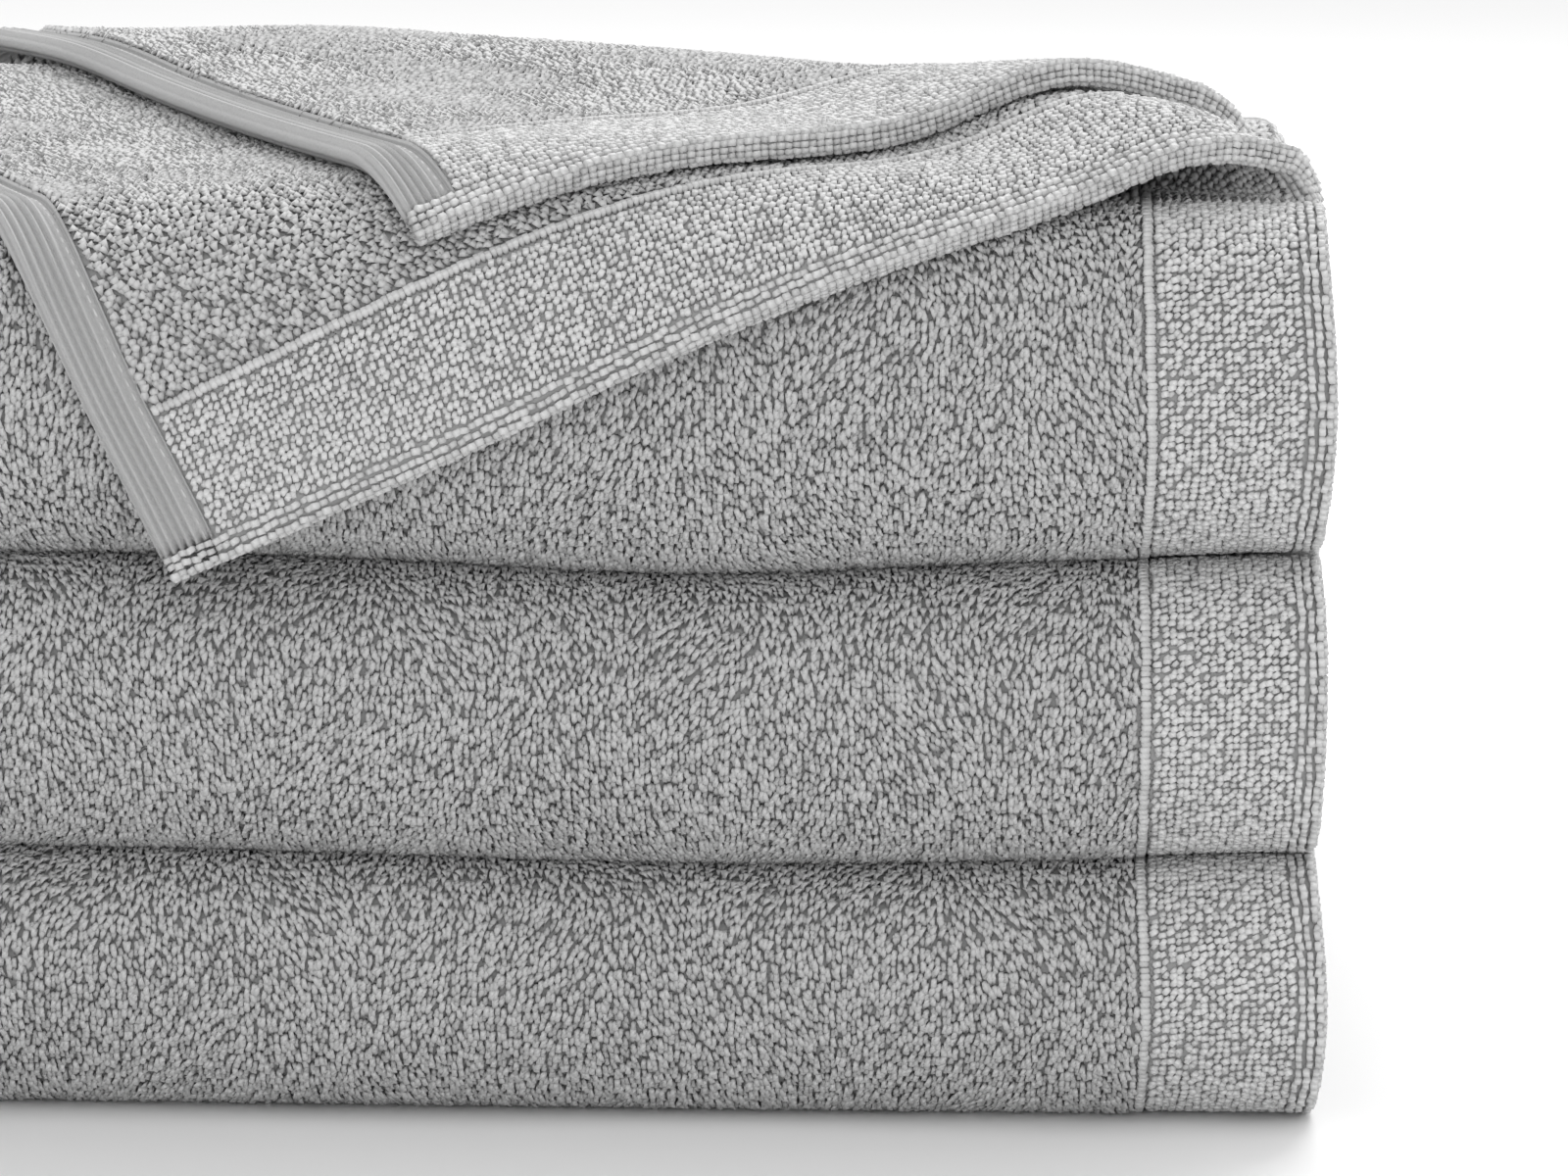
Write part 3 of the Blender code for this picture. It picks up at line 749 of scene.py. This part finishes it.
# %% [markdown]
# ## Laying the loops: a Geometry Nodes tree
# The tree takes seeds, which are points that carry three attributes: the way out of the cloth, the way the
# loop lies, and its size. On each it sets one loop, turns and leans it a little by a fixed seed, gives it a
# shade of its own, and makes everything real. Points with attributes do better here than scattering on
# faces, because a weave is a regular lattice and the rows have to stay straight through the folds.

# %% The tree
def enabled_output(node, name):
    return next(o for o in node.outputs if o.enabled and o.name == name)


def pile_tree():
    tree = bpy.data.node_groups.new("lay_pile", "GeometryNodeTree")
    for name, kind in (("Seeds", "Geometry"), ("Loop", "Object"), ("Size spread", "Float"), ("Turn spread", "Float"),
                       ("Lean spread", "Float"), ("Seed", "Int"), ("Yarn", "Material")):
        tree.interface.new_socket(name, in_out="INPUT", socket_type=f"NodeSocket{kind}")
    tree.interface.new_socket("Pile", in_out="OUTPUT", socket_type="NodeSocketGeometry")
    given = new_node(tree, "NodeGroupInput").outputs
    seed = given["Seed"]

    def stored(name, kind):
        node = new_node(tree, "GeometryNodeInputNamedAttribute", {"Name": name}, data_type=kind)
        return enabled_output(node, "Attribute")

    def drawn(kind, **limits):
        node = new_node(tree, "FunctionNodeRandomValue", {**limits, "Seed": seed}, data_type=kind)
        return enabled_output(node, "Value")

    def maths(operation, first, second):
        return new_node(tree, "ShaderNodeMath", {0: first, 1: second}, operation=operation).outputs[0]

    shaded = new_node(tree, "GeometryNodeStoreNamedAttribute",
                      {"Name": "yarn_shade", "Geometry": given["Seeds"], "Value": drawn("FLOAT")},
                      data_type="FLOAT", domain="POINT")

    lean, turn = given["Lean spread"], given["Turn spread"]
    most = new_node(tree, "ShaderNodeCombineXYZ", {"X": lean, "Y": lean, "Z": turn}).outputs[0]
    least = new_node(tree, "ShaderNodeVectorMath", {0: most, "Scale": -1}, operation="SCALE").outputs[0]
    own_turn = new_node(tree, "FunctionNodeEulerToRotation", {0: drawn("FLOAT_VECTOR", Min=least, Max=most)})
    axes = new_node(tree, "FunctionNodeAxesToRotation",
                    {0: stored("out", "FLOAT_VECTOR"), 1: stored("lie", "FLOAT_VECTOR")},
                    primary_axis="Z", secondary_axis="X")
    turned = new_node(tree, "FunctionNodeRotateRotation", {0: axes.outputs[0], 1: own_turn.outputs[0]},
                      rotation_space="LOCAL")

    spread = given["Size spread"]
    size = drawn("FLOAT", Min=maths("SUBTRACT", 1, spread), Max=maths("ADD", 1, spread))
    size = maths("MULTIPLY", size, stored("size", "FLOAT"))

    loop = new_node(tree, "GeometryNodeObjectInfo", {"As Instance": True, "Object": given["Loop"]})
    set_out = new_node(tree, "GeometryNodeInstanceOnPoints", {
        "Points": shaded.outputs["Geometry"], "Instance": loop.outputs["Geometry"], "Rotation": turned.outputs[0],
        "Scale": size})
    real = new_node(tree, "GeometryNodeRealizeInstances", {0: set_out.outputs[0]})
    dressed = new_node(tree, "GeometryNodeSetMaterial", {"Geometry": real.outputs[0], "Material": given["Yarn"]})
    new_node(tree, "NodeGroupOutput", {0: dressed.outputs[0]})
    return tree


PILE_TREE = pile_tree()
SOCKET = {item.name: item.identifier for item in PILE_TREE.interface.items_tree if item.in_out == "INPUT"}
print("tree inputs:", ", ".join(SOCKET))

# %% [markdown]
# Each patch of seeds goes through the tree once, and what comes out is kept as a plain mesh. Its bake map
# is laid out here too: one small square for each loop, in the loops' own order.

# %% Grow a patch of loops
def bake_squares(mesh, loops):
    """A map in which every loop has a square of its own."""
    strand = np.empty(len(mesh.loops) * 2, np.float32)
    mesh.uv_layers["strand"].data.foreach_get("uv", strand)
    strand = strand.reshape(-1, 2)
    across = int(math.ceil(math.sqrt(loops)))
    which = np.arange(len(strand)) // (len(strand) // loops)
    corner = np.stack([which % across, which // across], axis=1)
    squares = (corner + 0.06 + 0.88 * strand) / across
    layer = mesh.uv_layers.new(name="OFBake")
    layer.data.foreach_set("uv", squares.astype(np.float32).ravel())


def grow(name, seeds, loop, finish, seed, size_spread, turn, lean=0.15):
    """Grows loops on seeds: an array with columns place, out and lie, three each, and size."""
    points = bpy.data.meshes.new(name + "_seeds")
    points.from_pydata(seeds[:, :3].tolist(), [], [])
    seeds = seeds.astype(np.float32)
    for key, low, high in (("out", 3, 6), ("lie", 6, 9)):
        points.attributes.new(key, "FLOAT_VECTOR", "POINT").data.foreach_set("vector", seeds[:, low:high].ravel())
    points.attributes.new("size", "FLOAT", "POINT").data.foreach_set("value", seeds[:, 9].copy())
    grower = add_object(name + "_seeds", points)
    pile = grower.modifiers.new("pile", "NODES")
    pile.node_group = PILE_TREE
    values = {"Loop": LOOPS[loop], "Size spread": size_spread, "Turn spread": turn, "Lean spread": lean,
              "Seed": seed, "Yarn": FINISHES[finish]}
    for key, value in values.items():
        pile[SOCKET[key]] = value
    graph = bpy.context.evaluated_depsgraph_get()
    mesh = bpy.data.meshes.new_from_object(grower.evaluated_get(graph), depsgraph=graph)
    mesh.name = name
    mesh.materials.clear()
    mesh.materials.append(FINISHES[finish])
    mesh.polygons.foreach_set("material_index", np.zeros(len(mesh.polygons), np.int32))
    for key in ("out", "lie", "size"):
        if key in mesh.attributes:
            mesh.attributes.remove(mesh.attributes[key])
    bpy.data.objects.remove(grower)
    bpy.data.meshes.remove(points)
    bake_squares(mesh, len(seeds))
    pieces[name] = add_object(name, mesh)


# %% [markdown]
# ## Where the loops go
# Seeds lie on a lattice in the flat cloth, spaced evenly on the face that they cover, because a fold
# stretches its outside. Loops of the field hang down under gravity, with slow swirls where hands have brushed
# them; those of the border, the ridge and the hems stand in straight rows.

# %% Seeds on the cloth
# Each lattice: its pitch along u and s in mm, the size of its loops, and their jitter as a share of the pitch.
# The rows of a field are set off by half a pitch from each other.
LATTICES = {
    "field": (0.96, 1.44, 1.2, 0.3), "field_far": (1.66, 1.96, 1.40, 0.28), "field_mid": (2.0, 2.3, 1.5, 0.2),
    "field_pressed": (5.4, 5.8, 1.6, 0.25), "field_corner": (1.16, 1.46, 1.30, 0.3),
    "field_under_roll": (1.5, 1.6, 1.5, 0.25), "field_under_flap": (2.3, 2.6, 1.8, 0.25),
    "border": (1.35, 1.20, 1.28, 0.22), "border_far": (1.55, 1.6, 1.2, 0.12), "border_bare": (1.6, 1.9, 1.1, 0.06),
    "border_pressed": (2.4, 2.6, 0.8, 0.12), "border_under_roll": (1.1, 1.1, 1.3, 0.12),
    "border_under_flap": (1.55, 1.6, 1.3, 0.12), "hem": (1.5, 1.5, 1.5, 0.14), "ridge": (2.2, 1.0, 1.5, 0.08),
}
BORDER_SLANT, BRUSHED, EVEN_SAMPLES = 1.0, 0.55, 400
# How far from the middle of a leaf loops are rooted, as a share of its thickness
ROOT, ROLL_ROOT, RIDGE_ROOT, HEM_ROOT, STITCH_ROOT = 0.34, 0.46, 0.38, 0.32, 0.21
# How much loops differ in size, turn and lean
FIELD_SPREADS, BORDER_SPREADS = (0.16, 0.36, 0.22), (0.14, 0.45, 0.25)
HEM_SPREADS, RIDGE_SPREADS, STITCH_SPREADS = (0.12, 0.30, 0.2), (0.05, 0.08, 0.05), (0.05, 0.05, 0.02)
rng = np.random.default_rng(7)


def even(towel, axis, low, high, fixed, height, pitch, flat=False):
    """Positions along u or s that are evenly spaced on the cloth's face, or on the flat cloth."""
    fine = np.linspace(low, high, EVEN_SAMPLES)
    other = np.full_like(fine, fixed)
    u, s = (fine, other) if axis == "u" else (other, fine)
    length = fine - low if flat else arc_lengths(lay(towel, u, s, np.full_like(fine, height))[0])
    count = max(1, int(round(length[-1] / pitch)))
    return np.interp((np.arange(count) + 0.5) / count * length[-1], length, fine)


def swirl(points):
    x, y, z = points.T
    return (0.55 * np.sin(x * 95 + z * 60 + y * 30) + 0.45 * np.sin(z * 150 - x * 48 + y * 70 + 1.3)
            + 0.35 * np.sin((x + y) * 210 - z * 90))


def seeds_on(towel, side, u_range, s_range, lattice, gravity=1.0, root=ROOT, keep=None, flat=False):
    """Seeds on one face of the cloth, side +1 or -1."""
    *pitch, size, jitter = LATTICES[lattice]
    pitch = [each * MM for each in pitch]
    height = side * towel.pitch * root
    mid_u, mid_s = sum(u_range) / 2, sum(s_range) / 2
    u = even(towel, "u", *u_range, mid_s, height, pitch[0], flat)
    s = even(towel, "s", *s_range, mid_u, height, pitch[1], flat)
    u, s = np.meshgrid(u, s, indexing="ij")
    if lattice.startswith("field"):
        s[::2] += 0.25 * pitch[1]
        s[1::2] -= 0.25 * pitch[1]
    u, s = u.ravel(), s.ravel()
    u = u + rng.uniform(-jitter, jitter, len(u)) * pitch[0]
    s = s + rng.uniform(-jitter, jitter, len(s)) * pitch[1]
    if keep is not None:
        kept = keep(u, s)
        u, s = u[kept], s[kept]
    place, out, along_u, along_s = lay(towel, u, s, np.full(len(u), height))
    out = out * side
    if lattice.startswith("field"):
        down = np.array([[0, 0, -1.0]]) - out * (-out[:, 2:3])
        turn = swirl(place)
        lie = down * gravity + (np.cos(turn)[:, None] * along_s + np.sin(turn)[:, None] * along_u) * BRUSHED
    else:
        slant = BORDER_SLANT if lattice.startswith("border") and lattice != "border_pressed" else 0
        lie = along_s * math.cos(slant) + along_u * math.sin(slant)
    return np.hstack([place, out, unit(lie), np.full((len(u), 1), size)])


def in_corner(towel, u, s):
    """0 on the cloth that stays, 1 on a roll, 2 on a flap."""
    part = np.zeros(len(u), int)
    for leaf, crease in towel.creases.items():
        past = towel.past(leaf, u, s)
        part = np.where(past > crease.round, 2, np.where(past > 0, 1, part))
    return part


def only(towel, wanted):
    return lambda u, s: in_corner(towel, u, s) == wanted


# %% [markdown]
# ## Loops on the faces of each towel
# The front folds come first, since they are seen closest: the long-loop field, then the border at the end.
# Tops, backs and left ends have simpler loops, and faces that lie on another towel have flat, pressed ones.

# %% Loops on the folded faces
INNER_S = (SIDE_HEM + SEAM, TOWEL_WIDTH - SIDE_HEM - SEAM)
BORDER_START = END_HEM + 0.4 * MM
FRONT_SPLIT = -0.056  # the X at which the front field's last patch begins


def grow_faces(towel, number):
    name, u, s = towel.name, towel.u_marks, towel.s_marks
    over, front, under, back = (INNER_S[0], s[1]), (s[1], s[2]), (s[2], s[3]), (s[3], s[4])
    stay, outer_leaf, border = only(towel, 0), (FIELD_START, u[1]), (BORDER_START, BORDER_FAR)
    last = towel.outer_end - FRONT_SPLIT
    split = (FIELD_START + last) / 2
    for tag, span in (("right", (FIELD_START, split)), ("left", (split, last)), ("end", (last, u[1]))):
        grow(f"{name}_front_field_{tag}", seeds_on(towel, 1, span, front, "field", keep=stay), "long", "long_pile",
             number + 1, *FIELD_SPREADS)
    patches = [
        ("back_field", outer_leaf, back, "field_far", None, 3, 0.4),
        ("left_fold", (u[1], u[2]), INNER_S, "field_far", None, 4, 0.4),
        ("mid_fold", (u[3], u[4]), INNER_S, "field_mid", stay, 5, 0.4),
    ]
    if name != "bottom":
        patches.append(("under_field", outer_leaf, under, "field_pressed", None, 6, 0.6))
    patches.append(("upper_field", outer_leaf, over, "field_far", stay, 7, 0.5) if towel is top else
                   ("top_field", outer_leaf, over, "field_pressed", None, 7, 0.6))
    for tag, u_range, s_range, lattice, keep, more, turn in patches:
        loop = "pressed" if lattice == "field_pressed" else "far"
        grow(f"{name}_{tag}", seeds_on(towel, 1, u_range, s_range, lattice, keep=keep), loop, "long_pile",
             number + more, 0.15, turn)
    grow(f"{name}_outer_border", seeds_on(towel, 1, border, front, "border", keep=stay), "short", "short_pile",
         number + 8, *BORDER_SPREADS)
    rest = [("rest", "border_far", "far", 9, (over, under, back) if towel is top else (back,))]
    if towel is not top:
        rest.append(("pressed", "border_pressed", "pressed", 10, (over, under)))
    for tag, lattice, loop, more, spans in rest:
        found = [seeds_on(towel, 1, border, span, lattice, keep=stay) for span in spans]
        grow(f"{name}_outer_border_{tag}", np.vstack(found), loop, "short_pile", number + more, 0.1, 0.4)


for number, towel in enumerate(towels.values()):
    grow_faces(towel, 100 * (number + 1))
print("faces grown:", len(pieces), "pieces so far")

# %% [markdown]
# ## Ridge and end hems
# Between field and border the weaver packs a row of loops so tight that it stands up as a smooth ridge. The
# end itself is turned and sewn: rows of short loops on the outer face of the hem, where it can be seen, and
# rows over its very edge.

# %% Ridge and end hems
EDGE_INSET, EDGE_PITCH, EDGE_SIZE = 0.9 * MM, 1.5 * MM, 1.4
EDGE_ROWS, HIDDEN_EDGE_ROWS = (-0.22, 0.0, 0.22), (-0.2, 0.2)
WHOLE_S = (0.4 * MM, TOWEL_WIDTH - 0.4 * MM)


def edge_seeds(towel, end, s_range, row, keep):
    """Seeds over the very edge of an end, facing out of it."""
    at = EDGE_INSET if end == "outer" else TOWEL_LENGTH - EDGE_INSET
    s = even(towel, "s", *s_range, at, 0, EDGE_PITCH)
    u = np.full(len(s), at)
    kept = keep(u, s)
    u, s = u[kept], s[kept]
    place, _, along_u, along_s = lay(towel, u, s, np.full(len(u), row * towel.pitch))
    out = -along_u if end == "outer" else along_u
    return np.hstack([place, out, along_s, np.full((len(u), 1), EDGE_SIZE)])


def hem_seeds(towel, end, keep, sides, s_range=WHOLE_S, spans=None):
    found = [edge_seeds(towel, end, s_range, row, keep) for row in (EDGE_ROWS if sides else HIDDEN_EDGE_ROWS)]
    hem = from_end(end, 0.5 * MM, END_HEM + 0.2 * MM)
    found += [seeds_on(towel, side, hem, span, "hem", root=HEM_ROOT, keep=keep)
              for side in sides for span in spans or [s_range]]
    return np.vstack(found)


def ridge_seeds(towel, end, side, keep, s_range=INNER_S):
    ridge = from_end(end, BORDER_FAR + 0.2 * MM, FIELD_START)
    found = seeds_on(towel, side, ridge, s_range, "ridge", root=RIDGE_ROOT, keep=keep)
    found[:, 6:9] = np.cross(found[:, 3:6], found[:, 6:9])
    return found


for number, towel in enumerate(towels.values()):
    stay, marks = only(towel, 0), towel.s_marks
    open_runs = [(marks[1], marks[2]), (marks[3], marks[4])] + [(WHOLE_S[0], marks[1])] * (towel is top)
    for end, loop, sides in (("outer", "short", (1,)), ("inner", "far", ())):
        grow(f"{towel.name}_{end}_end_hem", hem_seeds(towel, end, stay, sides, spans=open_runs), loop, "hem_pile",
             500 + number, *HEM_SPREADS)
    grow(f"{towel.name}_outer_ridge", ridge_seeds(towel, "outer", 1, stay), "short", "ridge_pile", 520 + number,
         *RIDGE_SPREADS)
print("ridges and end hems:", [name for name in pieces if "end_hem" in name])

# %% [markdown]
# ## The turned-back corners
# A corner shows the other face of its leaf, so its loops grow there, and its border, ridge and hems follow
# the same zones. The roll over the crease is kept apart from the flap, since only the roll bends when the
# corner is lifted. The corner's underside and the leaves that it leaves bare get loops too.

# %% Loops on the corners and on the leaves they uncover
UPWARD = {"lower": -1, "upper": 1}
CORNER_OVERLAP = 2 * MM
BARE_REACH = -6 * MM


def only_leaf(towel, leaf, part):
    crease = towel.creases[leaf]

    def keep(u, s):
        past = towel.past(leaf, u, s)
        return (past > 0) & (past <= crease.round) if part == "roll" else past > crease.round
    return keep


def grow_corner(towel, leaf, number):
    end, up = "outer" if leaf == "lower" else "inner", UPWARD[leaf]
    field = from_end(end, FIELD_START + 0.3 * MM, leaf_reach(towel, leaf))
    border = from_end(end, BORDER_START, BORDER_FAR)
    s_range = (INNER_S[0], towel.s_marks[1] + CORNER_OVERLAP)
    for part, tail in CORNER_TAILS.items():
        mine, root = only_leaf(towel, leaf, part), ROLL_ROOT if part == "roll" else ROOT
        patches = [
            ("field", lambda: seeds_on(towel, up, field, s_range, "field_corner", 0.8, keep=mine, flat=True),
             "far", "long_pile", (0.15, 0.5, 0.2)),
            ("border", lambda: seeds_on(towel, up, border, s_range, "border", keep=mine, flat=True),
             "short", "short_pile", BORDER_SPREADS),
            ("ridge", lambda: ridge_seeds(towel, end, up, mine, s_range), "short", "ridge_pile", RIDGE_SPREADS),
            ("end_hem", lambda: hem_seeds(towel, end, mine, (1, -1), (WHOLE_S[0], s_range[1])),
             "short", "hem_pile", HEM_SPREADS),
            ("underside", lambda: np.vstack([
                seeds_on(towel, -up, zone, s_range, f"{kind}_under_{part}", root=root, keep=mine, flat=True)
                for kind, zone in (("field", field), ("border", border))]), "far", "long_pile", (0.15, 0.5)),
        ]
        for more, (tag, seeds, loop, finish, spreads) in enumerate(patches, 1):
            grow(f"{leaf}_corner_{tag}{tail}", seeds(), loop, finish, number + more, *spreads)


def under_corner(towel, leaf):
    """Keeps what lies behind a crease in plan: the part of the next leaf that the corner leaves bare."""
    crease = towel.creases[leaf]
    return lambda u, s: (crease.past(middle(towel, u, s)[:, :2]) > BARE_REACH) & (in_corner(towel, u, s) == 0)


grow_corner(top, "lower", 600)
grow_corner(top, "upper", 620)
bare = (INNER_S[0], top.s_marks[1])
second = seeds_on(top, -1, (top.u_marks[6], TOWEL_LENGTH - FIELD_START), bare, "field_far",
                  keep=under_corner(top, "lower"))
grow("top_second_leaf", second, "far", "long_pile", 641, 0.15, 0.5)
second = seeds_on(top, -1, from_end("inner", END_HEM, BORDER_FAR), bare, "border_bare",
                  keep=under_corner(top, "lower"))
grow("top_second_leaf_border", second, "far", "short_pile", 642, 0.07, 0.12)
third = seeds_on(top, 1, (top.u_marks[4], top.u_marks[5]), bare, "field_far", keep=under_corner(top, "upper"))
grow("top_third_leaf", third, "far", "long_pile", 643, 0.15, 0.5)
print("corner pieces:", sum("corner" in name for name in pieces))

# %% [markdown]
# ## Stitches
# The side hems are sewn down with a straight row of stitches near their inner edge. A stitch is a short
# strand, repeated by the same tree at an even pitch.

# %% Hem stitches
STITCH_PITCH = 2.8 * MM


def stitch_seeds(towel, keep):
    found = []
    for side in (1, -1):
        u = np.arange(END_HEM + 1 * MM, TOWEL_LENGTH - END_HEM, STITCH_PITCH)
        s = np.full(len(u), SIDE_HEM * STITCH_AT)
        kept = keep(u, s)
        u, s = u[kept], s[kept]
        place, out, along_u, _ = lay(towel, u, s, np.full(len(u), side * towel.pitch * STITCH_ROOT))
        found.append(np.hstack([place, out * side, along_u, np.ones((len(u), 1))]))
    return np.vstack(found)


rows = [(f"{name}_hem_stitches", towels[name], only(towels[name], 0), 700 + k) for k, name in enumerate(towels)]
rows += [(f"{leaf}_corner_stitches{tail}", top, only_leaf(top, leaf, part), 710)
         for leaf in top.creases for part, tail in CORNER_TAILS.items()]
for name, towel, keep, seed in rows:
    grow(name, stitch_seeds(towel, keep), "stitch", "thread", seed, *STITCH_SPREADS)
for loop in LOOPS.values():
    bpy.data.objects.remove(loop)

# %% [markdown]
# ## What moves with what
# Each towel is a body of its own, and so is each turned corner beyond its roll. The roll bends between the
# top towel and its corner, from the level of the leaf that it leaves to the level of the flap.


def towel_of(name):
    return name.split("_")[0]


for name, piece in pieces.items():
    leaf = name.split("_")[0] if "_corner_" in name else None
    if leaf and name.endswith("_roll"):
        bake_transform(piece)
    else:
        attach(piece, f"{leaf}_corner" if leaf else f"{towel_of(name)}_towel")

for name in towels:
    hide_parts(f"{name}_field", f"{name}_inner_border", f"{name}_inner_ridge")
    for part in ("outer_border", "outer_ridge", "outer_end_hem", "inner_end_hem", "top_side_hem", "tucked_side_hem"):
        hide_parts(f"{name}_{part}")
for leaf in top.creases:
    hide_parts(f"{leaf}_corner_field")
    for part in ("border", "ridge", "end_hem", "side_hem"):
        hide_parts(f"{leaf}_corner_{part}")

# %% [markdown]
# ## Sheets
# Each towel is one cloth of 70 x 140 cm, folded. The corners are parts of the top cloth, and for each the
# area of its own triangle is worked out and printed.

def corner_legs(leaf):
    crease = top.creases[leaf]
    width = top.path[0][0] - crease.start[1]
    height = width * crease.beyond[1]
    width *= (height - crease.round) / height
    return width, width * -crease.way[0] / crease.way[1]


areas = {leaf: 0.5 * float(np.prod(corner_legs(leaf))) for leaf in top.creases}
for leaf in top.creases:
    corner_legs(leaf)
    print(f"{leaf} corner: legs {[round(v, 3) for v in corner_legs(leaf)]} m, {areas[leaf]:.4f} m2")

# %% Measure and finish
triangles = {}
for name, piece in pieces.items():
    piece.data.calc_loop_triangles()
    triangles[name] = len(piece.data.loop_triangles)
print("triangles:", sum(triangles.values()), "in", len(pieces), "pieces; most:",
      sorted(triangles.items(), key=lambda item: -item[1])[:5])
bpy.context.view_layer.update()
